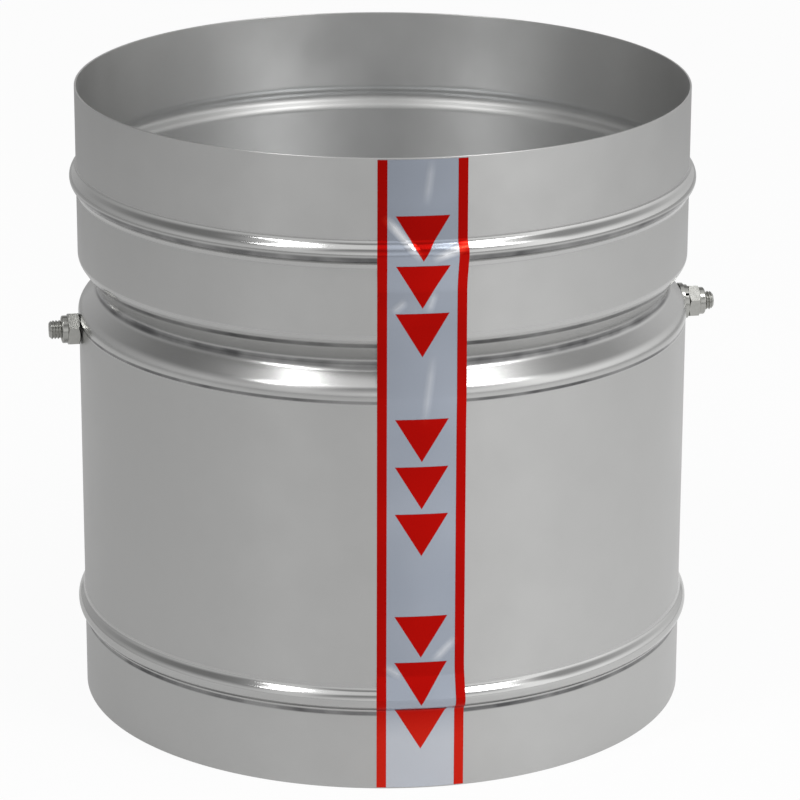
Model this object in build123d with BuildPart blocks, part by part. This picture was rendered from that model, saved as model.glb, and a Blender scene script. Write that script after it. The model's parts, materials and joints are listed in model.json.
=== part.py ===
from build123d import *
import os
from math import acos, atan2, cos, pi, radians, sin, sqrt, tan

os.makedirs("parts", exist_ok=True)

# Casing: one rolled sheet-metal sleeve with a stop bead near each end
casing_od = 159.2
casing_height = 164.0
sheet = 0.5
bead_inset = 24.0
bead_height = 1.75
bead_flank = 45.0
bead_crown_radius = 2.6
bead_foot_radius = 1.8

# Axle across the sleeve, on its diameter
axle_diameter = 5.0
axle_drop = 63.5
axle_left_end = 87.8
axle_right_end = 89.1
axle_chamfer = 0.7
axle_hole_clearance = 0.25

# Seat swage of the casing: a small step above the axle, a round, a sloped flank up to the groove,
# and an overhang out to the shoulder
seat_foot_lift = 1.8
seat_step_height = 0.6
seat_crown_rise = 0.2
seat_foot_radius = 0.5
seat_step_radius = 0.8
seat_flat = 0.6
swage_radius = 4.0
swage_slope = 48.0
groove_depth = 5.6
groove_radius = 2.7
shoulder_lift = 18.2
shoulder_radius = 3.3

# Nuts and washers for the threaded axle ends
nut_across_flats = 8.0
lock_nut_hex = 3.2
lock_nut_collar = 1.5
collar_diameter = 7.2
collar_round = 0.4
thin_nut_height = 2.7
nut_face_diameter = 7.6
nut_chamfer = 30.0
nut_turn = 17.0
thread_clearance = 0.05
insert_wall = 0.6
insert_recess = 0.2
washer_od = 10.0
washer_thickness = 1.0
split_washer_od = 9.0
split_washer_thickness = 1.1
split_gap = 0.7
split_turn = 40.0
stack_gap = 0.03

# Flaps, hinge straps and rivets
flap_sheet = 0.8
flap_closed_tilt = 2.0
flap_tip_clearance = 0.3
flap_side_clearance = 1.5
flap_edge_gap = 0.8
flap_corner_notch = 6.5
flap_corner_gap = 0.6
strap_sheet = 0.95
strap_width = 10.0
strap_leaf = 20.0
strap_curl = 250.0
strap_inset = 32.6
strap_side_gap = 0.3
strap_bore_clearance = 0.05
leaf_gap = 0.03
rivet_diameter = 3.0
rivet_head_diameter = 5.4
rivet_head_height = 0.9
rivet_rows = (9.0, 16.0)
rivet_fit = 0.03

# Spacer sleeves and closing spring on the axle
sleeve_wall = 0.65
sleeve_bore_clearance = 0.06
spring_wire = 0.8
spring_turns = 7
spring_pitch = 1.1
spring_axle_clearance = 0.12
spring_leg_slope = 16.0
spring_leg_gap = 0.08

# Flow label: a printed film strip with arrows in the flow direction
label_width = 22.0
label_centre_angle = -92.2
label_end_margin = 0.4
label_border = 2.4
label_film = 0.15
label_bed = 0.03
label_ink = 0.06
label_ink_gap = 0.02
label_tent = 8.0
label_crown_radius = 4.0
label_bend_radius = 14.0
arrow_base = 13.2
arrow_height = 11.0
arrow_pitch = 12.3
arrow_end_clear = 9.2
arrow_top_drop = 14.4
arrow_groups = 3
arrows_per_group = 3

casing_radius = casing_od / 2
bore_radius = casing_radius - sheet
axle_radius = axle_diameter / 2
axle_z = casing_height - axle_drop

# Outline of the sleeve's outer face, from the lower end to the upper end
bead_vertex = bead_height + bead_crown_radius * (1 / cos(radians(bead_flank)) - 1)
bead_half = bead_vertex / tan(radians(bead_flank))
lower_bead_z = bead_inset
upper_bead_z = casing_height - bead_inset
seat_foot_z = axle_z + seat_foot_lift
seat_step_z = seat_foot_z + seat_step_height
seat_crown_r = casing_radius + seat_crown_rise
swage_turn = radians(swage_slope)
swage_start_z = seat_step_z + seat_flat
swage_corner_z = swage_start_z + swage_radius * tan(swage_turn / 2)
groove_r = casing_radius - groove_depth
groove_z = swage_corner_z + (seat_crown_r - groove_r) / tan(swage_turn)
shoulder_z = axle_z + shoulder_lift


def bead_corners(level):
    return [
        (casing_radius, level - bead_half),
        (casing_radius + bead_vertex, level),
        (casing_radius, level + bead_half),
    ]


seat_corners = [
    (casing_radius, seat_foot_z),
    (seat_crown_r, seat_step_z),
    (seat_crown_r, swage_corner_z),
    (groove_r, groove_z),
    (casing_radius, shoulder_z),
]
bead_radii = [bead_foot_radius, bead_crown_radius, bead_foot_radius]
seat_radii = [seat_foot_radius, seat_step_radius, swage_radius, groove_radius, shoulder_radius]
sleeve_corners = (
    [(casing_radius, 0)]
    + bead_corners(lower_bead_z)
    + seat_corners
    + bead_corners(upper_bead_z)
    + [(casing_radius, casing_height)]
)
sleeve_radii = bead_radii + seat_radii + bead_radii

with BuildPart() as casing:
    with BuildSketch(Plane.XZ):
        with BuildLine():
            FilletPolyline(*sleeve_corners, radius=sleeve_radii)
            offset(amount=sheet, side=Side.LEFT)
        make_face()
    revolve(axis=Axis.Z)
    with BuildSketch(Plane.YZ):
        with Locations((0, axle_z)):
            Circle(axle_radius + axle_hole_clearance)
    extrude(amount=casing_od, both=True, mode=Mode.SUBTRACT)
casing.part.label = "casing"
export_step(casing.part, "parts/casing.step")


# A plane square to the axle at x, facing along sign, with a turn about the axle
def axle_plane(x, sign, turn=0.0):
    corner = (0, -cos(radians(turn)), sin(radians(turn)))
    return Plane(origin=(x, 0, axle_z), x_dir=corner, z_dir=(sign, 0, 0))


axle_length = axle_left_end + axle_right_end
with BuildPart() as axle:
    with BuildSketch(axle_plane(-axle_left_end, 1)):
        Circle(axle_radius)
    extrude(amount=axle_length)
    chamfer(axle.edges().filter_by(GeomType.CIRCLE), axle_chamfer)
axle.part.label = "axle"
export_step(axle.part, "parts/axle.step")

nut_corner = nut_across_flats / sqrt(3)
nut_face = nut_face_diameter / 2
nut_slope = (nut_corner - nut_face) * tan(radians(nut_chamfer))
nut_bore = axle_radius + thread_clearance
insert_bore_radius = nut_bore + insert_wall


# A hexagon nut body on the axle, chamfered at both ends
def hexagon(x, sign, height):
    seat = axle_plane(x, sign, nut_turn)
    side = Plane(origin=seat.origin, x_dir=seat.x_dir, z_dir=-seat.y_dir)
    with BuildPart() as body:
        with BuildSketch(seat):
            RegularPolygon(nut_corner, 6)
            Circle(nut_bore, mode=Mode.SUBTRACT)
        extrude(amount=height)
        with BuildSketch(side):
            with BuildLine():
                Polyline(
                    (0, 0),
                    (nut_face, 0),
                    (nut_corner, nut_slope),
                    (nut_corner, height - nut_slope),
                    (nut_face, height),
                    (0, height),
                    close=True,
                )
            make_face()
        revolve(axis=Axis(seat.origin, seat.z_dir), mode=Mode.INTERSECT)
    return body.part


# A lock nut: the hexagon, a round collar and a groove in the collar for its insert
def lock_nut(x, sign):
    with BuildPart() as body:
        add(hexagon(x, sign, lock_nut_hex))
        with BuildSketch(axle_plane(x + sign * lock_nut_hex, sign)):
            Circle(collar_diameter / 2)
            Circle(insert_bore_radius, mode=Mode.SUBTRACT)
        collar = extrude(amount=lock_nut_collar)
        outer = collar.edges().filter_by(GeomType.CIRCLE).group_by(Axis.X)[-1 if sign > 0 else 0]
        fillet(outer.sort_by(SortBy.RADIUS)[-1], collar_round)
    return body.part


def ring(x, sign, outer_radius, inner_radius, height):
    with BuildPart() as body:
        with BuildSketch(axle_plane(x, sign)):
            Circle(outer_radius)
            Circle(inner_radius, mode=Mode.SUBTRACT)
        extrude(amount=height)
    return body.part


# Outer fastenings: a lock nut at each end, two washers under the right one
left_nut_x = -(seat_crown_r + stack_gap)
plain_washer_x = seat_crown_r + stack_gap
split_washer_x = plain_washer_x + washer_thickness + stack_gap
right_nut_x = split_washer_x + split_washer_thickness + stack_gap

with BuildPart() as left_lock_nut:
    add(lock_nut(left_nut_x, -1))
left_lock_nut.part.label = "left_lock_nut"
export_step(left_lock_nut.part, "parts/left_lock_nut.step")

with BuildPart() as right_lock_nut:
    add(lock_nut(right_nut_x, 1))
right_lock_nut.part.label = "right_lock_nut"
export_step(right_lock_nut.part, "parts/right_lock_nut.step")

insert_height = lock_nut_collar - 2 * stack_gap - insert_recess
insert_outer = insert_bore_radius - stack_gap
with BuildPart() as left_nut_insert:
    add(ring(left_nut_x - lock_nut_hex - stack_gap, -1, insert_outer, nut_bore, insert_height))
left_nut_insert.part.label = "left_nut_insert"
export_step(left_nut_insert.part, "parts/left_nut_insert.step")

with BuildPart() as right_nut_insert:
    add(ring(right_nut_x + lock_nut_hex + stack_gap, 1, insert_outer, nut_bore, insert_height))
right_nut_insert.part.label = "right_nut_insert"
export_step(right_nut_insert.part, "parts/right_nut_insert.step")

washer_bore = axle_radius + axle_hole_clearance
with BuildPart() as right_plain_washer:
    add(ring(plain_washer_x, 1, washer_od / 2, washer_bore, washer_thickness))
right_plain_washer.part.label = "right_plain_washer"
export_step(right_plain_washer.part, "parts/right_plain_washer.step")

with BuildPart() as right_split_washer:
    add(ring(split_washer_x, 1, split_washer_od / 2, washer_bore, split_washer_thickness))
    with BuildSketch(axle_plane(split_washer_x, 1, split_turn)):
        with Locations((split_washer_od / 2, 0)):
            Rectangle(split_washer_od, split_gap)
    extrude(amount=split_washer_thickness, mode=Mode.SUBTRACT)
right_split_washer.part.label = "right_split_washer"
export_step(right_split_washer.part, "parts/right_split_washer.step")

# Inner fastenings: a washer and a thin nut against the wall on each side
washer_reach = washer_od / 2
wall_stop = sqrt(bore_radius**2 - washer_reach**2)
round_up = axle_z + washer_reach - swage_start_z
round_stop = seat_crown_r - swage_radius + sqrt((swage_radius - sheet) ** 2 - round_up**2)
inner_washer_x = min(wall_stop, round_stop) - stack_gap
inner_nut_x = inner_washer_x - washer_thickness - stack_gap
inner_stop_x = inner_nut_x - thin_nut_height

with BuildPart() as left_inner_washer:
    add(ring(-inner_washer_x, 1, washer_od / 2, washer_bore, washer_thickness))
left_inner_washer.part.label = "left_inner_washer"
export_step(left_inner_washer.part, "parts/left_inner_washer.step")

with BuildPart() as right_inner_washer:
    add(ring(inner_washer_x, -1, washer_od / 2, washer_bore, washer_thickness))
right_inner_washer.part.label = "right_inner_washer"
export_step(right_inner_washer.part, "parts/right_inner_washer.step")

with BuildPart() as left_inner_nut:
    add(hexagon(-inner_nut_x, 1, thin_nut_height))
left_inner_nut.part.label = "left_inner_nut"
export_step(left_inner_nut.part, "parts/left_inner_nut.step")

with BuildPart() as right_inner_nut:
    add(hexagon(inner_nut_x, -1, thin_nut_height))
right_inner_nut.part.label = "right_inner_nut"
export_step(right_inner_nut.part, "parts/right_inner_nut.step")

# Hinge straps sit in neighbouring pairs: one of each flap, a pair on each side
flap_half_width = bore_radius - flap_side_clearance
pair_x = flap_half_width - strap_inset
outer_strap_x = pair_x + strap_side_gap / 2
inner_strap_x = pair_x - strap_side_gap / 2 - strap_width
curl_bore = axle_radius + strap_bore_clearance
curl_middle = curl_bore + strap_sheet / 2
curl_outer = curl_bore + strap_sheet
blade_bottom = curl_outer + leaf_gap
blade_top = blade_bottom + flap_sheet

# Flap length: the tip's upper edge stops short of the swage's sloped flank, at the closed tilt
tilt = radians(flap_closed_tilt)
flank_r = seat_crown_r + blade_top * sin(tilt)
flank_up = swage_corner_z - axle_z - blade_top * cos(tilt)
flank_reach = flank_r * cos(swage_turn) + flank_up * sin(swage_turn)
flap_depth = (flank_reach - sheet - flap_tip_clearance) / cos(swage_turn - tilt)
flap_corner_x = inner_stop_x - flap_corner_gap

flap_normal = (0, sin(tilt), cos(tilt))
flap_across = (0, cos(tilt), -sin(tilt))
flap_plane = Plane(origin=(0, 0, axle_z), x_dir=(1, 0, 0), z_dir=flap_normal)
front_straps = {"left": -outer_strap_x - strap_width, "right": inner_strap_x}
rivet_spots = [
    (start + strap_width / 2, -row) for start in front_straps.values() for row in rivet_rows
]

with BuildPart() as front_flap:
    with BuildSketch(flap_plane.offset(blade_bottom)):
        Ellipse(flap_half_width, flap_depth)
        with Locations((0, flap_depth - flap_edge_gap)):
            Rectangle(2 * flap_half_width, 2 * flap_depth, mode=Mode.SUBTRACT)
        corner_width = flap_half_width - flap_corner_x
        with Locations(
            (-flap_corner_x - corner_width, 0),
            (flap_corner_x + corner_width, 0),
        ):
            Rectangle(2 * corner_width, 2 * flap_corner_notch, mode=Mode.SUBTRACT)
        with Locations(*rivet_spots):
            Circle(rivet_diameter / 2 + rivet_fit, mode=Mode.SUBTRACT)
    extrude(amount=flap_sheet)
front_flap.part.label = "front_flap"
export_step(front_flap.part, "parts/front_flap.step")

with BuildPart() as rear_flap:
    add(front_flap.part, rotation=(0, 0, 180))
rear_flap.part.label = "rear_flap"
export_step(rear_flap.part, "parts/rear_flap.step")


# A hinge strap: a flat leaf under the flap and a knuckle curled round the axle
def hinge_strap(start):
    section = Plane(origin=(start, 0, axle_z), x_dir=flap_across, z_dir=(1, 0, 0))
    middle = start + strap_width / 2
    with BuildPart() as body:
        with BuildSketch(section):
            with BuildLine() as path:
                Line((-strap_leaf, curl_middle), (0, curl_middle))
                CenterArc((0, 0), curl_middle, 90, -strap_curl)
            trace(path.line, line_width=strap_sheet)
        extrude(amount=strap_width)
        with BuildSketch(flap_plane.offset(curl_bore)):
            with Locations(*[(middle, -row) for row in rivet_rows]):
                Circle(rivet_diameter / 2 + rivet_fit)
        extrude(amount=strap_sheet, mode=Mode.SUBTRACT)
    return body.part


with BuildPart() as front_hinge_left:
    add(hinge_strap(front_straps["left"]))
front_hinge_left.part.label = "front_hinge_left"
export_step(front_hinge_left.part, "parts/front_hinge_left.step")

with BuildPart() as front_hinge_right:
    add(hinge_strap(front_straps["right"]))
front_hinge_right.part.label = "front_hinge_right"
export_step(front_hinge_right.part, "parts/front_hinge_right.step")

with BuildPart() as rear_hinge_left:
    add(hinge_strap(front_straps["right"]), rotation=(0, 0, 180))
rear_hinge_left.part.label = "rear_hinge_left"
export_step(rear_hinge_left.part, "parts/rear_hinge_left.step")

with BuildPart() as rear_hinge_right:
    add(hinge_strap(front_straps["left"]), rotation=(0, 0, 180))
rear_hinge_right.part.label = "rear_hinge_right"
export_step(rear_hinge_right.part, "parts/rear_hinge_right.step")

# Rivets: shank through the strap and the flap, a domed head on each side
head_radius = rivet_head_diameter / 2
rivet_low = curl_bore - stack_gap
rivet_high = blade_top + stack_gap
dome_radius = (head_radius**2 + rivet_head_height**2) / (2 * rivet_head_height)
dome_middle = sqrt(dome_radius**2 - head_radius**2 / 4) - dome_radius + rivet_head_height
head_arc = (head_radius / 2, dome_middle)
with BuildPart() as front_rivets:
    for spot_x, spot_y in rivet_spots:
        foot = flap_plane.from_local_coords((spot_x, spot_y, 0))
        with BuildSketch(Plane(origin=foot, x_dir=(1, 0, 0), z_dir=flap_across)):
            with BuildLine():
                Polyline(
                    (0, -rivet_high - rivet_head_height),
                    (0, -rivet_low + rivet_head_height),
                )
                ThreePointArc(
                    (0, -rivet_low + rivet_head_height),
                    (head_arc[0], -rivet_low + head_arc[1]),
                    (head_radius, -rivet_low),
                )
                Polyline(
                    (head_radius, -rivet_low),
                    (rivet_diameter / 2, -rivet_low),
                    (rivet_diameter / 2, -rivet_high),
                    (head_radius, -rivet_high),
                )
                ThreePointArc(
                    (head_radius, -rivet_high),
                    (head_arc[0], -rivet_high - head_arc[1]),
                    (0, -rivet_high - rivet_head_height),
                )
            make_face()
        revolve(axis=Axis(foot, flap_normal))
front_rivets.part.label = "front_rivets"
export_step(front_rivets.part, "parts/front_rivets.step")

with BuildPart() as rear_rivets:
    add(front_rivets.part, rotation=(0, 0, 180))
rear_rivets.part.label = "rear_rivets"
export_step(rear_rivets.part, "parts/rear_rivets.step")

# Spacer sleeves between the inner nuts and the outer straps
sleeve_bore = axle_radius + sleeve_bore_clearance
sleeve_outer = sleeve_bore + sleeve_wall
sleeve_start = outer_strap_x + strap_width + strap_side_gap
sleeve_length = inner_stop_x - stack_gap - sleeve_start

with BuildPart() as left_spacer_sleeve:
    add(ring(-sleeve_start, -1, sleeve_outer, sleeve_bore, sleeve_length))
left_spacer_sleeve.part.label = "left_spacer_sleeve"
export_step(left_spacer_sleeve.part, "parts/left_spacer_sleeve.step")

with BuildPart() as right_spacer_sleeve:
    add(ring(sleeve_start, 1, sleeve_outer, sleeve_bore, sleeve_length))
right_spacer_sleeve.part.label = "right_spacer_sleeve"
export_step(right_spacer_sleeve.part, "parts/right_spacer_sleeve.step")

# Closing spring: a coil round the axle with one leg under each flap
leg_angle = radians(flap_closed_tilt + spring_leg_slope)
coil_radius = axle_radius + spring_axle_clearance + spring_wire / 2
coil_turns = spring_turns + 2 * leg_angle / (2 * pi)
coil_length = coil_turns * spring_pitch
leg_rise = blade_bottom - spring_wire / 2 - spring_leg_gap
leg_slope = radians(spring_leg_slope)
leg_length = (leg_rise + coil_radius * cos(leg_slope)) / sin(leg_slope)
lead = spring_pitch / (2 * pi * coil_radius)
coil_plane = Plane(
    origin=(-coil_length / 2, 0, axle_z),
    x_dir=(0, -sin(leg_angle), -cos(leg_angle)),
    z_dir=(1, 0, 0),
)
coil_end = 2 * leg_angle
end_point = Vector(coil_radius * cos(coil_end), coil_radius * sin(coil_end), coil_length)
end_way = Vector(-sin(coil_end), cos(coil_end), lead)
start_point = Vector(coil_radius, 0, 0)
start_way = Vector(0, -1, -lead)
with BuildPart() as closing_spring:
    with BuildLine() as wire_path:
        Line(start_point + start_way * leg_length, start_point)
        Helix(spring_pitch, coil_length, coil_radius)
        Line(end_point, end_point + end_way * leg_length)
    with BuildSketch(Plane(origin=start_point + start_way * leg_length, z_dir=-start_way)):
        Circle(spring_wire / 2)
    sweep(path=wire_path.wire())
closing_spring.part.locate(coil_plane.location)
closing_spring.part.label = "closing_spring"
export_step(closing_spring.part, "parts/closing_spring.step")

# The label's line as corners and radii: flat on both ends of the sleeve, tight up the bead's outer
# flank and over its crown, then stretched to the wall, and stretched again across the groove
def label_line(stand_off):
    film_r = casing_radius + stand_off
    crown_round = bead_crown_radius + stand_off
    crown_depth = bead_crown_radius - bead_height + stand_off
    flank = radians(bead_flank)
    stretch_reach = sqrt(crown_depth**2 + label_tent**2)
    stretch = atan2(label_tent, crown_depth) - acos(crown_round / stretch_reach)
    peak = crown_round / cos((flank + stretch) / 2)
    peak_r = film_r - crown_depth + peak * cos((flank - stretch) / 2)
    peak_shift = peak * sin((flank - stretch) / 2)
    foot_shift = (crown_round - crown_depth * cos(flank)) / sin(flank)
    line = [
        (film_r, lower_bead_z - foot_shift, bead_foot_radius),
        (peak_r, lower_bead_z - peak_shift, crown_round),
        (film_r, lower_bead_z + label_tent, label_bend_radius),
        (film_r, seat_foot_z - label_tent, label_bend_radius),
        (seat_crown_r + stand_off, swage_start_z, label_crown_radius),
        (film_r, shoulder_z + shoulder_radius, label_bend_radius),
        (film_r, upper_bead_z - label_tent, label_bend_radius),
        (peak_r, upper_bead_z + peak_shift, crown_round),
        (film_r, upper_bead_z + foot_shift, bead_foot_radius),
    ]
    ends = (film_r, label_end_margin), (film_r, casing_height - label_end_margin)
    corners = [ends[0]] + [(radius, level) for radius, level, bend in line] + [ends[1]]
    return corners, [bend for radius, level, bend in line]


degrees_per_mm = 360 / (2 * pi * casing_radius)
label_start = label_centre_angle - label_width / 2 * degrees_per_mm
label_arc = label_width * degrees_per_mm
border_arc = label_border * degrees_per_mm
ink_bed = label_bed + label_film + label_ink_gap
arrow_group_pitch = (casing_height - arrow_end_clear) / arrow_groups


# Part of the label's surface: a skin of a thickness, at a distance off the sleeve, over an arc
def label_skin(stand_off, thickness, start, arc):
    corners, radii = label_line(stand_off)
    with BuildPart() as body:
        with BuildSketch(Plane.XZ.rotated((0, 0, start))):
            with BuildLine():
                FilletPolyline(*corners, radius=radii)
                offset(amount=thickness, side=Side.RIGHT)
            make_face()
        revolve(axis=Axis.Z, revolution_arc=arc)
    return body.part


with BuildPart() as flow_label:
    add(label_skin(label_bed, label_film, label_start, label_arc))
flow_label.part.label = "flow_label"
export_step(flow_label.part, "parts/flow_label.step")

right_border_start = label_start + label_arc - border_arc
with BuildPart() as label_borders:
    add(label_skin(ink_bed, label_ink, label_start, border_arc))
    add(label_skin(ink_bed, label_ink, right_border_start, border_arc))
label_borders.part.label = "label_borders"
export_step(label_borders.part, "parts/label_borders.step")

centre = radians(label_centre_angle)
label_face = Plane(
    origin=(0, 0, 0),
    x_dir=(-sin(centre), cos(centre), 0),
    z_dir=(cos(centre), sin(centre), 0),
)
with BuildPart() as label_arrows:
    add(label_skin(ink_bed, label_ink, label_start, label_arc))
    with BuildSketch(label_face):
        for group in range(arrow_groups):
            for place in range(arrows_per_group):
                drop = arrow_top_drop + group * arrow_group_pitch + place * arrow_pitch
                base_z = casing_height - drop
                with BuildLine():
                    Polyline(
                        (-arrow_base / 2, base_z),
                        (0, base_z - arrow_height),
                        (arrow_base / 2, base_z),
                        close=True,
                    )
                make_face()
    extrude(amount=casing_od, mode=Mode.INTERSECT)
label_arrows.part.label = "label_arrows"
export_step(label_arrows.part, "parts/label_arrows.step")
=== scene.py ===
import json
from math import cos, pi, radians, sin, tan

import bpy
from mathutils import Matrix, Vector


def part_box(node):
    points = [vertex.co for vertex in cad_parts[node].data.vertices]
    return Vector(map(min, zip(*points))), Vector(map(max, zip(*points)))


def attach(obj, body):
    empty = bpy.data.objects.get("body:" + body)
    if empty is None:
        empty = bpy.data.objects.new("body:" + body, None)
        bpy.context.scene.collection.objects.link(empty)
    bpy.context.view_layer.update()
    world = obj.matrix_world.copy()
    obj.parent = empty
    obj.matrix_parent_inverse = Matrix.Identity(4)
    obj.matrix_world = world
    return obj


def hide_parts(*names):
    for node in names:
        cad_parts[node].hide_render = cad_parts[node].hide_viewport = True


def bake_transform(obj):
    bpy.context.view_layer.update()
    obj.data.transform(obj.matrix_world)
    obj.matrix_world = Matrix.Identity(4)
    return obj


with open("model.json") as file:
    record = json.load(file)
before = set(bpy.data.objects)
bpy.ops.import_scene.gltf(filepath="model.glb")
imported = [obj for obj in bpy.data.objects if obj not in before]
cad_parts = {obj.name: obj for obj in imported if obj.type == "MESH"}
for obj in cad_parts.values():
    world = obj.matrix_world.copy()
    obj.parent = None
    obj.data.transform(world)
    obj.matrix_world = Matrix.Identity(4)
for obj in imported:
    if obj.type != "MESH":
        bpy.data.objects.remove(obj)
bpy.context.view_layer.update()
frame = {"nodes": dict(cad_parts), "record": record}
scene = bpy.context.scene
mm = 0.001

# Levels read from the frame, and the sleeve's profile from its foot to its rim
axle_low, axle_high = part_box("axle")
casing_low, casing_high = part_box("casing")
axle_z = (axle_low.z + axle_high.z) / 2
axle_radius = (axle_high.z - axle_low.z) / 2
casing_height = casing_high.z - casing_low.z
wall_radius = 79.6 * mm
sheet = 0.5 * mm
rim_round = 0.2 * mm
bead_inset = 24 * mm
lower_bead_z = casing_low.z + bead_inset
upper_bead_z = casing_high.z - bead_inset
bead_height = 1.75 * mm
bead_crown_radius = 2.6 * mm
bead_foot_radius = 1.8 * mm
bead_flank = radians(45)
seat_foot_lift = 1.8 * mm
seat_foot_z = axle_z + seat_foot_lift
seat_foot_round = 0.5 * mm
seat_step_height = 0.6 * mm
seat_step_z = seat_foot_z + seat_step_height
seat_step_round = 0.8 * mm
seat_crown_rise = 0.2 * mm
seat_crown_radius = wall_radius + seat_crown_rise
seat_flat = 0.6 * mm
swage_round = 4 * mm
swage_turn = radians(48)
swage_corner_z = seat_step_z + seat_flat + swage_round * tan(swage_turn / 2)
groove_depth = 5.6 * mm
groove_radius = wall_radius - groove_depth
groove_z = swage_corner_z + (seat_crown_radius - groove_radius) / tan(swage_turn)
groove_round = 2.7 * mm
shoulder_lift = 18.2 * mm
shoulder_z = axle_z + shoulder_lift
shoulder_round = 3.3 * mm
swage_z = (seat_foot_z + shoulder_z) / 2


# Colours are written as sRGB hex and turned to linear here
def linear(hex_colour):
    channels = []
    for start in (1, 3, 5):
        share = int(hex_colour[start : start + 2], 16) / 255
        if share <= 0.04045:
            channels.append(share / 12.92)
        else:
            channels.append(((share + 0.055) / 1.055) ** 2.4)
    return (*channels, 1.0)


# Adds one node: attributes by name, then sockets as values or as links from other sockets
def add_node(tree, kind, sockets=None, **settings):
    node = tree.nodes.new(kind)
    for name, value in settings.items():
        setattr(node, name, value)
    for name, value in (sockets or {}).items():
        if isinstance(value, bpy.types.NodeSocket):
            tree.links.new(value, node.inputs[name])
        else:
            node.inputs[name].default_value = value
    return node


def new_material(name):
    material = bpy.data.materials.new(name)
    material.use_nodes = True
    material.node_tree.nodes.clear()
    return material, material.node_tree


def close_material(tree, shader):
    add_node(tree, "ShaderNodeOutputMaterial", {"Surface": shader.outputs[0]})


# Bands round the sleeve that the rollers rubbed bright: middle, reach and how bright. Each runs
# out over its edge
rub_edge = 0.8 * mm
rubbed_bands = (
    (lower_bead_z, 4.0 * mm, 1.0),
    (upper_bead_z, 4.0 * mm, 1.0),
    (swage_z, 9.2 * mm, 0.6),
)

# Dark lines of painted shade, standing in for the shade and dark reflections of the creases: below
# the lower bead, on the underside of the upper bead, at the seat's foot, in the groove and below the
# shoulder, each as middle and reach. A line is whole over its core, a share of its reach
shade_core = 0.4
painted_crease_shade = (
    (lower_bead_z - 3.6 * mm, 0.8 * mm),
    (upper_bead_z - 1.2 * mm, 1.2 * mm),
    (seat_foot_z, 0.6 * mm),
    (groove_z + 0.1 * mm, 1.3 * mm),
    (shoulder_z - 2.3 * mm, 0.9 * mm),
)


# How strongly a height lies in any of some bands. Each band has its middle, how far from there it
# is whole, how far it reaches, and its strength
def add_bands(tree, height, bands):
    strongest = 0.0
    for middle, whole, reach, strength in bands:
        away = add_node(tree, "ShaderNodeMath", {0: height, 1: middle}, operation="SUBTRACT")
        away = add_node(tree, "ShaderNodeMath", {0: away.outputs[0]}, operation="ABSOLUTE")
        band = add_node(
            tree,
            "ShaderNodeMapRange",
            {
                "Value": away.outputs[0],
                "From Min": whole,
                "From Max": reach,
                "To Min": strength,
                "To Max": 0.0,
            },
            interpolation_type="SMOOTHSTEP",
        )
        strongest = add_node(
            tree, "ShaderNodeMath", {0: band.outputs[0], 1: strongest}, operation="MAXIMUM"
        ).outputs[0]
    return strongest
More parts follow.
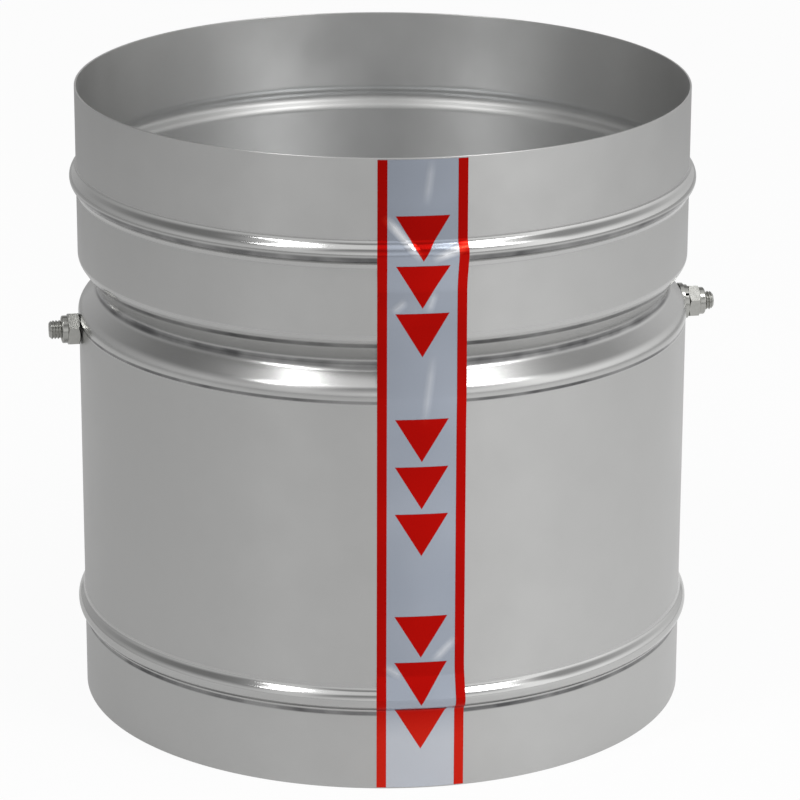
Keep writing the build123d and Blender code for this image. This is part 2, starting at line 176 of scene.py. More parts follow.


# Rolled sheet: a mill finish whose fine lines run round the sleeve and draw reflections out up and
# down, rubbed bright by the rollers on the outside of the beads and the swage, with dark lines of
# painted shade in its creases, a faint cloudy tone and a slight ripple in the walls
def rolled_steel():
    dark_wall = "#bfbfbe"
    pale_wall = "#c9c9c8"
    # Colour of the painted shade in the creases
    crease_shade_colour = "#474749"
    # Cloudy tone about 14 mm across, as handled sheet has, and a ripple about 45 mm from crest to
    # crest
    cloud_size = 14 * mm
    cloud_low = 0.3
    cloud_high = 0.7
    ripple_size = 45 * mm
    ripple_height = 0.6 * mm
    ripple_strength = 0.35
    # Roughness of the wall at its smoothest and roughest, what the inside adds, and of the rubbed
    # bands
    smooth_wall = 0.36
    rough_wall = 0.42
    inside_rougher = 0.08
    rubbed_rough = 0.13
    # How far the lines draw a reflection out. The beads' inside keeps some of the lines, and the
    # rubbed outside has none
    outside_lines = 0.72
    inside_lines = 0.85
    bead_inside_lines = 0.5
    quarter_turn = 0.25
    # The painted crease shade comes and goes with the cloudy tone
    patch_low = 0.35
    patch_high = 0.65
    faint_shade = 0.45
    full_shade = 0.9

    material, tree = new_material("rolled_steel")
    place = add_node(tree, "ShaderNodeTexCoord").outputs["Object"]
    height = add_node(tree, "ShaderNodeSeparateXYZ", {"Vector": place}).outputs["Z"]
    burnish = add_bands(
        tree,
        height,
        [(middle, reach - rub_edge, reach, polish) for middle, reach, polish in rubbed_bands],
    )
    inside = add_node(tree, "ShaderNodeAttribute", attribute_name="inside").outputs["Fac"]
    outside = add_node(
        tree, "ShaderNodeMath", {0: 1.0, 1: inside}, operation="SUBTRACT"
    ).outputs[0]
    rubbed = add_node(
        tree, "ShaderNodeMath", {0: burnish, 1: outside}, operation="MULTIPLY"
    ).outputs[0]
    cloud = add_node(
        tree,
        "ShaderNodeTexNoise",
        {"Vector": place, "Scale": 1 / cloud_size, "Detail": 3.0, "Roughness": 0.55},
    ).outputs[0]
    satin = add_node(
        tree,
        "ShaderNodeMapRange",
        {
            "Value": cloud,
            "From Min": cloud_low,
            "From Max": cloud_high,
            "To Min": smooth_wall,
            "To Max": rough_wall,
        },
    )
    coarse = add_node(
        tree,
        "ShaderNodeMath",
        {0: inside, 1: inside_rougher, 2: satin.outputs[0]},
        operation="MULTIPLY_ADD",
    )
    rough = add_node(
        tree,
        "ShaderNodeMix",
        {"Factor": rubbed, "A": coarse.outputs[0], "B": rubbed_rough},
        data_type="FLOAT",
    )
    wall_lines = add_node(
        tree,
        "ShaderNodeMix",
        {"Factor": inside, "A": outside_lines, "B": inside_lines},
        data_type="FLOAT",
    )
    bead_lines = add_node(
        tree, "ShaderNodeMath", {0: inside, 1: bead_inside_lines}, operation="MULTIPLY"
    )
    drawn = add_node(
        tree,
        "ShaderNodeMix",
        {"Factor": burnish, "A": wall_lines.outputs["Result"], "B": bead_lines.outputs[0]},
        data_type="FLOAT",
    )
    tone = add_node(
        tree,
        "ShaderNodeMix",
        {"Factor": cloud, "A": linear(dark_wall), "B": linear(pale_wall)},
        data_type="RGBA",
    )
    # Painted shade: dark lines in the creases' colour, where their shade and dark reflections fall
    crease_shade = add_bands(
        tree,
        height,
        [(middle, reach * shade_core, reach, 1.0) for middle, reach in painted_crease_shade],
    )
    shade_patchiness = add_node(
        tree,
        "ShaderNodeMapRange",
        {
            "Value": cloud,
            "From Min": patch_low,
            "From Max": patch_high,
            "To Min": faint_shade,
            "To Max": full_shade,
        },
    )
    painted_shade = add_node(tree, "ShaderNodeMath", {0: crease_shade, 1: shade_patchiness.outputs[0]}, operation="MULTIPLY")
    painted_shade = add_node(tree, "ShaderNodeMath", {0: painted_shade.outputs[0], 1: outside}, operation="MULTIPLY")
    # The painted crease shade is mixed into the sheet's tone, on the outside only
    tone = add_node(
        tree,
        "ShaderNodeMix",
        {"Factor": painted_shade.outputs[0], "A": tone.outputs["Result"], "B": linear(crease_shade_colour)},
        data_type="RGBA",
    )
    ripple = add_node(
        tree,
        "ShaderNodeTexNoise",
        {"Vector": place, "Scale": 1 / ripple_size, "Detail": 1.0},
    )
    bump = add_node(
        tree,
        "ShaderNodeBump",
        {"Height": ripple.outputs[0], "Strength": ripple_strength, "Distance": ripple_height},
    )
    round_way = add_node(tree, "ShaderNodeTangent", direction_type="RADIAL", axis="Z")
    shader = add_node(
        tree,
        "ShaderNodeBsdfPrincipled",
        {
            "Base Color": tone.outputs["Result"],
            "Metallic": 1.0,
            "Roughness": rough.outputs["Result"],
            "Anisotropic": drawn.outputs["Result"],
            "Anisotropic Rotation": quarter_turn,
            "Tangent": round_way.outputs[0],
            "Normal": bump.outputs[0],
        },
    )
    close_material(tree, shader)
    return material


# A plain metal: a tone that varies a little, a roughness and a surface grain. The real grain of
# plate and wire is finer, and is drawn coarse enough to show
def grained_metal(name, dark, light, roughness, grain_size, grain_depth):
    grain_low = 0.25
    grain_high = 0.75
    roughness_spread = 0.2
    grain_strength = 0.3
    material, tree = new_material(name)
    place = add_node(tree, "ShaderNodeTexCoord").outputs["Object"]
    grain = add_node(
        tree,
        "ShaderNodeTexNoise",
        {"Vector": place, "Scale": 1 / grain_size, "Detail": 4.0, "Roughness": 0.6},
    ).outputs[0]
    tone = add_node(
        tree,
        "ShaderNodeMix",
        {"Factor": grain, "A": linear(dark), "B": linear(light)},
        data_type="RGBA",
    )
    rough = add_node(
        tree,
        "ShaderNodeMapRange",
        {
            "Value": grain,
            "From Min": grain_low,
            "From Max": grain_high,
            "To Min": roughness * (1 - roughness_spread),
            "To Max": roughness * (1 + roughness_spread),
        },
    )
    bump = add_node(
        tree,
        "ShaderNodeBump",
        {"Height": grain, "Strength": grain_strength, "Distance": grain_depth},
    )
    shader = add_node(
        tree,
        "ShaderNodeBsdfPrincipled",
        {
            "Base Color": tone.outputs["Result"],
            "Metallic": 1.0,
            "Roughness": rough.outputs[0],
            "Normal": bump.outputs[0],
        },
    )
    close_material(tree, shader)
    return material


# A moulded plastic: one colour with a faint mottle and a soft gloss
def moulded_plastic(name, dark, light, roughness):
    mottle_size = 1.2 * mm
    mottle_height = 0.05 * mm
    mottle_strength = 0.15
    plastic_ior = 1.5
    material, tree = new_material(name)
    place = add_node(tree, "ShaderNodeTexCoord").outputs["Object"]
    mottle = add_node(
        tree,
        "ShaderNodeTexNoise",
        {"Vector": place, "Scale": 1 / mottle_size, "Detail": 2.0},
    ).outputs[0]
    tone = add_node(
        tree,
        "ShaderNodeMix",
        {"Factor": mottle, "A": linear(dark), "B": linear(light)},
        data_type="RGBA",
    )
    bump = add_node(
        tree,
        "ShaderNodeBump",
        {"Height": mottle, "Strength": mottle_strength, "Distance": mottle_height},
    )
    shader = add_node(
        tree,
        "ShaderNodeBsdfPrincipled",
        {
            "Base Color": tone.outputs["Result"],
            "Roughness": roughness,
            "IOR": plastic_ior,
            "Normal": bump.outputs[0],
        },
    )
    close_material(tree, shader)
    return material


# Folds of the label, in mm: sideways from its middle and up, from one end to the other, and how
# sharp each is
label_folds = (
    ((-9.2, 149.4), (-0.6, 139.2), 1.0),
    ((12.4, 142.6), (2.4, 139.0), 1.0),
    ((-4.0, 128.4), (-7.4, 125.4), 0.4),
    ((3.0, 130.6), (1.4, 125.4), 0.4),
    ((2.2, 163.4), (0.8, 152.6), 0.3),
    ((2.6, 114.0), (0.6, 97.0), 0.3),
    ((8.8, 40.2), (3.0, 34.2), 0.5),
    ((-9.0, 33.2), (-4.8, 30.4), 0.4),
)
label_middle_x = -3.06 * mm
fold_stand_off = 0.16 * mm
fold_width = 1.4 * mm

# How far from a fold's middle, as shares of its length, it starts to run out and is gone
fold_whole_share = 0.2
fold_gone_share = 0.55

# The foot of the label, painted paler as a painted reflection of the bright floor: heights where
# that starts and is full, and how strong it is
foot_highlight_start = 26 * mm
foot_highlight_full = 12 * mm
foot_highlight_strength = 0.42


# The label's folds: each is a ridge along a line, which runs out at both ends. Gives the height
# and how strongly the film is painted pale along it, a painted highlight on the fold
def add_folds(tree, place):
    height = 0.0
    painted_highlight_share = 0.0
    for start, end, rise in label_folds:
        first = Vector((start[0] * mm + label_middle_x, 0, start[1] * mm))
        last = Vector((end[0] * mm + label_middle_x, 0, end[1] * mm))
        way = (last - first).normalized()
        across = Vector((way.z, 0, -way.x))
        length = (last - first).length
        offset = add_node(
            tree, "ShaderNodeVectorMath", {0: place, 1: (first + last) / 2}, operation="SUBTRACT"
        ).outputs["Vector"]
        ridge = rise
        for axis, whole, gone in (
            (across, 0.0, fold_width),
            (way, length * fold_whole_share, length * fold_gone_share),
        ):
            reach = add_node(
                tree, "ShaderNodeVectorMath", {0: offset, 1: axis}, operation="DOT_PRODUCT"
            )
            reach = add_node(
                tree, "ShaderNodeMath", {0: reach.outputs["Value"]}, operation="ABSOLUTE"
            )
            share = add_node(
                tree,
                "ShaderNodeMapRange",
                {
                    "Value": reach.outputs[0],
                    "From Min": whole,
                    "From Max": gone,
                    "To Min": 1.0,
                    "To Max": 0.0,
                },
            )
            ridge = add_node(
                tree, "ShaderNodeMath", {0: share.outputs[0], 1: ridge}, operation="MULTIPLY"
            ).outputs[0]
        height = add_node(
            tree,
            "ShaderNodeMath",
            {0: ridge, 1: fold_stand_off, 2: height},
            operation="MULTIPLY_ADD",
        ).outputs[0]
        painted_highlight_share = add_node(
            tree, "ShaderNodeMath", {0: ridge, 1: painted_highlight_share}, operation="MAXIMUM"
        ).outputs[0]
    return height, painted_highlight_share


# Label stock: metallised film, either bare or under printed ink, that was pressed on by hand. It
# has a soft sheen, swells a little under the hand, and has painted highlights on its folds and a
# painted reflection of the floor at its foot
def label_stock(name, dark, light, painted_highlight, metallic, roughness):
    swell_size = 20 * mm
    swell_height = 0.45 * mm
    material, tree = new_material(name)
    place = add_node(tree, "ShaderNodeTexCoord").outputs["Object"]
    swell = add_node(
        tree, "ShaderNodeTexNoise", {"Vector": place, "Scale": 1 / swell_size, "Detail": 1.0}
    ).outputs[0]
    folds, painted_highlight_share = add_folds(tree, place)
    level = add_node(tree, "ShaderNodeSeparateXYZ", {"Vector": place}).outputs["Z"]
    # Painted reflection of the floor, rising towards the label's foot
    rubbed = add_node(
        tree,
        "ShaderNodeMapRange",
        {
            "Value": level,
            "From Min": foot_highlight_full,
            "From Max": foot_highlight_start,
            "To Min": foot_highlight_strength,
            "To Max": 0.0,
        },
        interpolation_type="SMOOTHSTEP",
    )
    painted_highlight_share = add_node(
        tree, "ShaderNodeMath", {0: rubbed.outputs[0], 1: painted_highlight_share}, operation="MAXIMUM"
    ).outputs[0]
    tone = add_node(
        tree,
        "ShaderNodeMix",
        {"Factor": swell, "A": linear(dark), "B": linear(light)},
        data_type="RGBA",
    )
    # Painted highlight on the folds and painted floor reflection at the foot, mixed into the film's
    # colour
    tone = add_node(
        tree,
        "ShaderNodeMix",
        {"Factor": painted_highlight_share, "A": tone.outputs["Result"], "B": linear(painted_highlight)},
        data_type="RGBA",
    )
    # Heights are in metres already, so the bump takes them as they are
    height = add_node(
        tree, "ShaderNodeMath", {0: swell, 1: swell_height, 2: folds}, operation="MULTIPLY_ADD"
    )
    bump = add_node(
        tree, "ShaderNodeBump", {"Height": height.outputs[0], "Strength": 1.0, "Distance": 1.0}
    )
    shader = add_node(
        tree,
        "ShaderNodeBsdfPrincipled",
        {
            "Base Color": tone.outputs["Result"],
            "Metallic": metallic,
            "Roughness": roughness,
            "Normal": bump.outputs[0],
        },
    )
    close_material(tree, shader)
    return material


finishes = {
    "sheet_steel": rolled_steel(),
    # Zinc plate on turned and stamped steel: bright and a little warm
    "zinc_steel": grained_metal(
        "zinc_plate",
        dark="#a2a29e",
        light="#bcbcb8",
        roughness=0.2,
        grain_size=1.5 * mm,
        grain_depth=0.02 * mm,
    ),
    # Hot dipped strip, stamped into hinge straps: duller and a little blue
    "strap_steel": grained_metal(
        "galvanised_strip",
        dark="#a8abad",
        light="#c4c7c9",
        roughness=0.34,
        grain_size=3 * mm,
        grain_depth=0.03 * mm,
    ),
    # Rolled aluminium sheet as it leaves the mill: pale and satin
    "flap_aluminium": grained_metal(
        "mill_aluminium",
        dark="#c6c8ca",
        light="#d5d7d9",
        roughness=0.32,
        grain_size=6 * mm,
        grain_depth=0.04 * mm,
    ),
    # Rivet heads pressed in a polished die: pale, and a little glossier than the sheet
    "rivet_aluminium": grained_metal(
        "rivet_aluminium",
        dark="#bcbec0",
        light="#d2d4d6",
        roughness=0.28,
        grain_size=1.5 * mm,
        grain_depth=0.02 * mm,
    ),
    # Wire pulled through a die: darker, with a clean sheen
    "spring_steel": grained_metal(
        "drawn_wire",
        dark="#8d8f92",
        light="#a6a8ab",
        roughness=0.22,
        grain_size=0.8 * mm,
        grain_depth=0.01 * mm,
    ),
    # Undyed nylon of the lock nuts' rings: off-white
    "nylon": moulded_plastic("natural_nylon", dark="#d8d6cc", light="#e4e2d9", roughness=0.45),
    # Black polyamide tube of the spacer sleeves
    "sleeve_plastic": moulded_plastic(
        "black_polyamide", dark="#1c1c1d", light="#262627", roughness=0.4
    ),
    # Bare silver film, and the same film seen through red ink
    # Each film's pale colour is its painted highlight, on the folds and at the foot
    "label_film": label_stock(
        "silver_film",
        dark="#a1a9b6",
        light="#b3bac6",
        painted_highlight="#f4f6fa",
        metallic=0.9,
        roughness=0.26,
    ),
    "label_red": label_stock(
        "red_ink_on_film",
        dark="#b40905",
        light="#c80e06",
        painted_highlight="#ff3c28",
        metallic=0.95,
        roughness=0.26,
    ),
}
for entry in frame["record"]["subparts"]:
    piece = frame["nodes"][entry["node"]]
    piece.data.materials.clear()
    piece.data.materials.append(finishes[entry["material_slot"]])


# A mesh object from points and faces, shaded smooth, with a record slot's finish
def make_piece(name, points, faces, slot_name):
    mesh = bpy.data.meshes.new(name)
    mesh.from_pydata(points, [], faces)
    mesh.update()
    piece = bpy.data.objects.new(name, mesh)
    scene.collection.objects.link(piece)
    mesh.materials.append(finishes[slot_name])
    mesh.polygons.foreach_set("use_smooth", [True] * len(mesh.polygons))
    return piece


# Faces of a tube made of rings of points, closed round each ring
def tube_faces(ring_count, ring_points, capped_start, capped_end):
    faces = []
    for ring in range(ring_count - 1):
        for step in range(ring_points):
            after = (step + 1) % ring_points
            low = ring * ring_points
            high = low + ring_points
            faces.append((low + step, low + after, high + after, high + step))
    if capped_start:
        faces.append(tuple(reversed(range(ring_points))))
    if capped_end:
        last = (ring_count - 1) * ring_points
        faces.append(tuple(range(last, last + ring_points)))
    return faces


# Sleeve: its outline turned about the vertical in fine steps, so that bright lines run clean
casing_steps = 420
arc_step = radians(4)
fewest_arc_steps = 3


def bead_corners(level):
    vertex = bead_height + bead_crown_radius * (1 / cos(bead_flank) - 1)
    half = vertex / tan(bead_flank)
    return [
        (wall_radius, level - half, bead_foot_radius),
        (wall_radius + vertex, level, bead_crown_radius),
        (wall_radius, level + half, bead_foot_radius),
    ]


# Points along a line of corners, with each corner rounded, as place and heading
def rounded_line(corners):
    line = []
    for index in range(1, len(corners) - 1):
        before, corner, after = (Vector(corners[index + shift][:2]) for shift in (-1, 0, 1))
        radius = corners[index][2]
        way_in = (corner - before).normalized()
        way_out = (after - corner).normalized()
        turn = way_in.angle_signed(way_out)
        trim = radius * tan(abs(turn) / 2)
        start = corner - way_in * trim
        side = 1 if turn < 0 else -1
        centre = start + Vector((-way_in.y, way_in.x)) * radius * side
        steps = max(fewest_arc_steps, int(abs(turn) / arc_step))
        for step in range(steps + 1):
            swing = Matrix.Rotation(-turn * step / steps, 2)
            line.append((centre + swing @ (start - centre), swing @ way_in))
    return line


# The sleeve's closed outline as radius and height, each point marked 1 on the inner skin, else 0
def casing_outline():
    seat_corners = [
        (wall_radius, seat_foot_z, seat_foot_round),
        (seat_crown_radius, seat_step_z, seat_step_round),
        (seat_crown_radius, swage_corner_z, swage_round),
        (groove_radius, groove_z, groove_round),
        (wall_radius, shoulder_z, shoulder_round),
    ]
    low = (wall_radius, casing_low.z, 0)
    high = (wall_radius, casing_high.z, 0)
    corners = [
        low,
        *bead_corners(lower_bead_z),
        *seat_corners,
        *bead_corners(upper_bead_z),
        high,
    ]
    wall = rounded_line(corners)
    outer = [place for place, way in wall]
    inner = [place + Vector((-way.y, way.x)) * sheet for place, way in reversed(wall)]
    inner_radius = wall_radius - sheet
    rims = [
        (inner_radius, casing_low.z + sheet, 0),
        (inner_radius, casing_low.z, rim_round),
        (wall_radius, casing_low.z, rim_round),
        (wall_radius, casing_low.z + sheet, 0),
    ]
    foot = [place for place, way in rounded_line(rims)]
    ends = casing_high.z + casing_low.z
    top = [Vector((radius, ends - level)) for radius, level in reversed(foot)]
    skins = [(foot, 0.0), (outer, 0.0), (top, 0.0), (inner, 1.0)]
    return [(place, inside) for skin, inside in skins for place in skin]


def build_casing():
    outline = casing_outline()
    count = len(outline)
    points = []
    for step in range(casing_steps):
        turn = 2 * pi * step / casing_steps
        points += [(place.x * cos(turn), place.x * sin(turn), place.y) for place, inside in outline]
    faces = []
    for step in range(casing_steps):
        here = step * count
        there = (step + 1) % casing_steps * count
        for index in range(count):
            after = (index + 1) % count
            faces.append((here + index, there + index, there + after, here + after))
    piece = make_piece("rolled_sleeve", points, faces, "sheet_steel")
    marks = piece.data.attributes.new("inside", "FLOAT", "POINT")
    marks.data.foreach_set("value", [inside for place, inside in outline] * casing_steps)
    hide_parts("casing")
    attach(piece, "housing")


build_casing()

# Axle with a cut thread at each end
thread_pitch = 0.8 * mm
thread_depth = 0.42 * mm
thread_length = 15 * mm
thread_fade = 1.5 * mm
steps_per_pitch = 8
thread_step = thread_pitch / steps_per_pitch
axle_chamfer = 0.7 * mm
axle_ring = 40


# Places along the axle, close together where there is thread
def axle_stations():
    stations = []
    x = axle_low.x
    while x < axle_low.x + thread_length:
        stations.append(x)
        x += thread_step
    x = axle_high.x - thread_length
    while x < axle_high.x:
        stations.append(x)
        x += thread_step
    stations.append(axle_high.x)
    return stations


# The axle's radius at a place along it and a turn about it
def axle_surface(x, turn):
    from_end = min(x - axle_low.x, axle_high.x - x)
    phase = (x / thread_pitch - turn / (2 * pi)) % 1.0
    cut = thread_depth * abs(2 * phase - 1)
    cut *= max(0.0, min(1.0, (thread_length - from_end) / thread_fade))
    limit = axle_radius - axle_chamfer + from_end
    return min(axle_radius - cut, limit)


def build_axle():
    stations = axle_stations()
    points = []
    for x in stations:
        for step in range(axle_ring):
            turn = 2 * pi * step / axle_ring
            radius = axle_surface(x, turn)
            points.append((x, radius * cos(turn), axle_z + radius * sin(turn)))
    faces = tube_faces(len(stations), axle_ring, True, True)
    piece = make_piece("threaded_axle", points, faces, "zinc_steel")
    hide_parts("axle")
    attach(piece, "housing")


build_axle()

# Closing spring in two halves, which meet in the middle of the coil
wire_radius = 0.4 * mm
coil_clearance = 0.12 * mm
coil_radius = axle_radius + coil_clearance + wire_radius
spring_turns = 7
spring_pitch = 1.1 * mm
leg_angle = radians(18)
leg_steps = 6
spring_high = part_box("closing_spring")[1]
wire_ring = 12
coil_steps_per_turn = 32


# The middle of the wire: the front leg from its end, the coil from left to right, the rear leg
def spring_path():
    wrap = 2 * pi * spring_turns + 2 * leg_angle
    length = wrap / (2 * pi) * spring_pitch
    start_turn = -pi / 2 - leg_angle
    leg_reach = spring_high.y - wire_radius * sin(leg_angle)
    leg_length = (leg_reach - coil_radius * sin(leg_angle)) / cos(leg_angle)
    lead = spring_pitch / (2 * pi * coil_radius)
    steps = int(coil_steps_per_turn * wrap / (2 * pi))
    coil = []
    for step in range(steps + 1):
        share = step / steps
        turn = start_turn + share * wrap
        x = -length / 2 + share * length
        coil.append(Vector((x, coil_radius * cos(turn), axle_z + coil_radius * sin(turn))))
    front_way = Vector((-lead, -cos(leg_angle), sin(leg_angle)))
    rear_way = Vector((lead, cos(leg_angle), sin(leg_angle)))
    front_leg = []
    rear_leg = []
    for step in range(1, leg_steps + 1):
        along = leg_length * step / leg_steps
        front_leg.insert(0, coil[0] + front_way * along)
        rear_leg.append(coil[-1] + rear_way * along)
    return front_leg + coil + rear_leg


# A round wire along a path of points, with rings carried from one point to the next without twist
def wire_piece(name, path, capped_start, capped_end):
    points = []
    across = None
    for index, place in enumerate(path):
        before = path[max(0, index - 1)]
        after = path[min(len(path) - 1, index + 1)]
        way = (after - before).normalized()
        if across is None:
            across = way.orthogonal()
        across = (across - way * across.dot(way)).normalized()
        beside = way.cross(across)
        for step in range(wire_ring):
            turn = 2 * pi * step / wire_ring
            offset = across * cos(turn) + beside * sin(turn)
            points.append(place + offset * wire_radius)
    faces = tube_faces(len(path), wire_ring, capped_start, capped_end)
    return make_piece(name, points, faces, "spring_steel")


def build_spring():
    path = spring_path()
    middle = len(path) // 2
    front = wire_piece("spring_front_half", path[: middle + 1], True, False)
    rear = wire_piece("spring_rear_half", path[middle:], False, True)
    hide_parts("closing_spring")
    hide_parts("closing_spring")
    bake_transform(front)
    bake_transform(rear)


build_spring()

# Camera: place, heading and lens fitted to the photograph's 800 pixel square frame
frame_pixels = 800
focal_pixels = 3925
sensor_mm = 36
camera_azimuth = radians(-9.2)
camera_reach = 988.5 * mm
camera_height = 403.1 * mm
camera_pitch = radians(18.263)
camera_yaw = 0.00475
camera_roll = 0.0035
camera_near = 10 * mm


def build_camera():
    heading = camera_yaw - camera_azimuth
    level = cos(camera_pitch)
    forward = Vector((sin(heading) * level, cos(heading) * level, -sin(camera_pitch)))
    right = forward.cross(Vector((0, 0, 1))).normalized()
    up = right.cross(forward)
    rolled_right = right * cos(camera_roll) + up * sin(camera_roll)
    rolled_up = up * cos(camera_roll) - right * sin(camera_roll)
    aside = camera_reach * sin(camera_azimuth)
    ahead = -camera_reach * cos(camera_azimuth)
    place = Vector((aside, ahead, camera_height))
    data = bpy.data.cameras.new("photo_camera")
    data.lens = focal_pixels * sensor_mm / frame_pixels
    data.sensor_width = sensor_mm
    data.clip_start = camera_near
    camera = bpy.data.objects.new("photo_camera", data)
    turn = Matrix((rolled_right, rolled_up, -forward)).transposed()
    camera.matrix_world = Matrix.Translation(place) @ turn.to_4x4()
    scene.collection.objects.link(camera)
    scene.camera = camera


build_camera()


# A soft box facing the damper, at an azimuth counted from the camera's side. Angles are in degrees
# and lengths in metres
def soft_box(name, azimuth, elevation, distance, width, tall, radiance):
    lamp = bpy.data.lights.new(name, "AREA")
    lamp.shape = "RECTANGLE"
    lamp.size = width
    lamp.size_y = tall
    lamp.energy = radiance * pi * width * tall
    target = Vector((0, 0, casing_height / 2))
    bearing = camera_azimuth + radians(azimuth)
    rise = radians(elevation)
    way = Vector((sin(bearing) * cos(rise), -cos(bearing) * cos(rise), sin(rise)))
    box = bpy.data.objects.new(name, lamp)
    box.matrix_world = (-way).to_track_quat("-Z", "Y").to_matrix().to_4x4()
    box.location = target + way * distance
    scene.collection.objects.link(box)


soft_box("right_box", azimuth=48, elevation=52, distance=1.2, width=0.3, tall=0.5, radiance=7.0)
soft_box("left_box", azimuth=-47, elevation=54, distance=1.2, width=0.16, tall=0.5, radiance=10.0)

# Room: pale walls, a grey belt that comes in above them, and a pale ceiling. Each level is a part
# of a direction one long, where 0 is the horizon and 1 is straight up
wall_colour = "#f2f2f2"
belt_colour = "#9c9c9c"
ceiling_colour = "#f0f0f0"
pane_colour = "#ffffff"
wall_top = 0.2
belt_full = 0.75
ceiling_edge = 0.8
ceiling_full = 0.92

# Tall white panes in front, to the left and to the right, and how far each reaches to its sides
pane_turns = (radians(-46), radians(52))
pane_whole = 0.06
pane_gone = 0.24
pane_front_start = 0.1
pane_front_full = 0.35

# The room is brighter to the right than to the left, and dimmer behind
room_side = 0.9
left_level = 0.75
right_level = 1.35
room_front = -0.2
room_back = 0.8
back_level = 0.6

# What the camera sees behind the damper
backdrop_colour = "#fcfcfc"


# The colour of the room in a direction
def add_room_colour(tree, way, up):
    belt = add_node(
        tree,
        "ShaderNodeMapRange",
        {"Value": up, "From Min": wall_top, "From Max": belt_full},
        interpolation_type="SMOOTHSTEP",
    )
    room = add_node(
        tree,
        "ShaderNodeMix",
        {"Factor": belt.outputs[0], "A": linear(wall_colour), "B": linear(belt_colour)},
        data_type="RGBA",
    )
    ceiling = add_node(
        tree,
        "ShaderNodeMapRange",
        {"Value": up, "From Min": ceiling_edge, "From Max": ceiling_full},
        interpolation_type="SMOOTHSTEP",
    )
    room = add_node(
        tree,
        "ShaderNodeMix",
        {"Factor": ceiling.outputs[0], "A": room.outputs["Result"], "B": linear(ceiling_colour)},
        data_type="RGBA",
    )
    for turn in pane_turns:
        beside = (cos(turn), sin(turn), 0)
        before = (sin(turn), -cos(turn), 0)
        aside = add_node(tree, "ShaderNodeVectorMath", {0: way, 1: beside}, operation="DOT_PRODUCT")
        aside = add_node(tree, "ShaderNodeMath", {0: aside.outputs["Value"]}, operation="ABSOLUTE")
        strip = add_node(
            tree,
            "ShaderNodeMapRange",
            {
                "Value": aside.outputs[0],
                "From Min": pane_whole,
                "From Max": pane_gone,
                "To Min": 1.0,
                "To Max": 0.0,
            },
            interpolation_type="SMOOTHSTEP",
        )
        ahead = add_node(tree, "ShaderNodeVectorMath", {0: way, 1: before}, operation="DOT_PRODUCT")
        front = add_node(
            tree,
            "ShaderNodeMapRange",
            {
                "Value": ahead.outputs["Value"],
                "From Min": pane_front_start,
                "From Max": pane_front_full,
            },
            interpolation_type="SMOOTHSTEP",
        )
        pane = add_node(
            tree, "ShaderNodeMath", {0: strip.outputs[0], 1: front.outputs[0]}, operation="MULTIPLY"
        )
        room = add_node(
            tree,
            "ShaderNodeMix",
            {"Factor": pane.outputs[0], "A": room.outputs["Result"], "B": linear(pane_colour)},
            data_type="RGBA",
        )
    return room.outputs["Result"]


# How bright the room is in a direction
def add_room_level(tree, sideways, backward):
    side = add_node(
        tree,
        "ShaderNodeMapRange",
        {
            "Value": sideways,
            "From Min": -room_side,
            "From Max": room_side,
            "To Min": left_level,
            "To Max": right_level,
        },
    )
    back = add_node(
        tree,
        "ShaderNodeMapRange",
        {
            "Value": backward,
            "From Min": room_front,
            "From Max": room_back,
            "To Min": 1.0,
            "To Max": back_level,
        },
    )
    around = add_node(
        tree, "ShaderNodeMath", {0: side.outputs[0], 1: back.outputs[0]}, operation="MULTIPLY"
    )
    return around.outputs[0]


# Room light, with a plain white backdrop for the camera alone
def build_world():
    world = bpy.data.worlds.new("room")
    world.use_nodes = True
    tree = world.node_tree
    tree.nodes.clear()
    way = add_node(tree, "ShaderNodeTexCoord").outputs["Generated"]
    parts = add_node(tree, "ShaderNodeSeparateXYZ", {"Vector": way}).outputs
    room = add_room_colour(tree, way, parts["Z"])
    around = add_room_level(tree, parts["X"], parts["Y"])
    to_camera = add_node(tree, "ShaderNodeLightPath").outputs["Is Camera Ray"]
    seen = add_node(
        tree,
        "ShaderNodeMix",
        {"Factor": to_camera, "A": room, "B": linear(backdrop_colour)},
        data_type="RGBA",
    )
    level = add_node(
        tree,
        "ShaderNodeMix",
        {"Factor": to_camera, "A": around, "B": 1.0},
        data_type="FLOAT",
    )
    light = add_node(
        tree,
        "ShaderNodeBackground",
        {"Color": seen.outputs["Result"], "Strength": level.outputs["Result"]},
    )
    add_node(tree, "ShaderNodeOutputWorld", {"Surface": light.outputs[0]})
    scene.world = world


build_world()

# Floor: its colours under light and as a plain white, its half width, and the small gap under the
# damper
floor_colour = "#ededed"
floor_white = "#ffffff"
floor_half = 3.0
floor_drop = 0.05 * mm

# White that the floor shows in the metal: dimmer to the left, and dimmer past the table's edge
mirror_left_x = -60 * mm
mirror_right_x = 100 * mm
mirror_left = 0.6
mirror_right = 0.92
table_reach = 450 * mm
table_gone = 570 * mm
past_table = 0.45

# Share of white over plain shading, to the metal and to the camera
mirror_share = 0.6
camera_share = 0.93


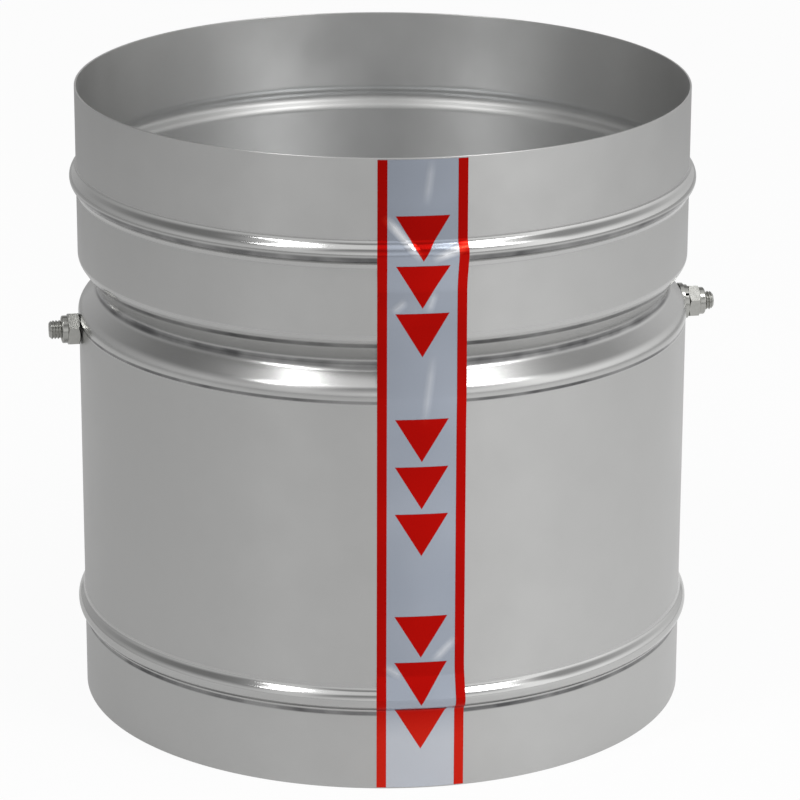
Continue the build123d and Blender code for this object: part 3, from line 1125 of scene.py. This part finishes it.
# Pale floor: white to the camera and in the metal, and still taking the damper's shadow
def pale_floor():
    material, tree = new_material("pale_floor")
    rays = add_node(tree, "ShaderNodeLightPath").outputs
    place = add_node(tree, "ShaderNodeTexCoord").outputs["Object"]
    across = add_node(tree, "ShaderNodeSeparateXYZ", {"Vector": place}).outputs["X"]
    side = add_node(
        tree,
        "ShaderNodeMapRange",
        {
            "Value": across,
            "From Min": mirror_left_x,
            "From Max": mirror_right_x,
            "To Min": mirror_left,
            "To Max": mirror_right,
        },
        interpolation_type="SMOOTHSTEP",
    )
    away = add_node(tree, "ShaderNodeVectorMath", {0: place}, operation="LENGTH")
    fade = add_node(
        tree,
        "ShaderNodeMapRange",
        {
            "Value": away.outputs["Value"],
            "From Min": table_reach,
            "From Max": table_gone,
            "To Min": 1.0,
            "To Max": past_table,
        },
        interpolation_type="SMOOTHSTEP",
    )
    table = add_node(
        tree, "ShaderNodeMath", {0: side.outputs[0], 1: fade.outputs[0]}, operation="MULTIPLY"
    )
    level = add_node(
        tree,
        "ShaderNodeMix",
        {"Factor": rays["Is Camera Ray"], "A": table.outputs[0], "B": 1.0},
        data_type="FLOAT",
    )
    lit = add_node(tree, "ShaderNodeBsdfDiffuse", {"Color": linear(floor_colour)})
    glow = add_node(
        tree,
        "ShaderNodeEmission",
        {"Color": linear(floor_white), "Strength": level.outputs["Result"]},
    )
    mirrored = add_node(
        tree, "ShaderNodeMath", {0: rays["Is Glossy Ray"], 1: mirror_share}, operation="MULTIPLY"
    )
    share = add_node(
        tree,
        "ShaderNodeMix",
        {"Factor": rays["Is Camera Ray"], "A": mirrored.outputs[0], "B": camera_share},
        data_type="FLOAT",
    )
    mixed = add_node(
        tree,
        "ShaderNodeMixShader",
        {0: share.outputs["Result"], 1: lit.outputs[0], 2: glow.outputs[0]},
    )
    close_material(tree, mixed)
    return material


def build_floor():
    level = casing_low.z - floor_drop
    corners = [
        (-floor_half, -floor_half, level),
        (floor_half, -floor_half, level),
        (floor_half, floor_half, level),
        (-floor_half, floor_half, level),
    ]
    mesh = bpy.data.meshes.new("floor")
    mesh.from_pydata(corners, [], [(0, 1, 2, 3)])
    mesh.materials.append(pale_floor())
    floor = bpy.data.objects.new("floor", mesh)
    scene.collection.objects.link(floor)


build_floor()

scene.view_settings.view_transform = "Standard"
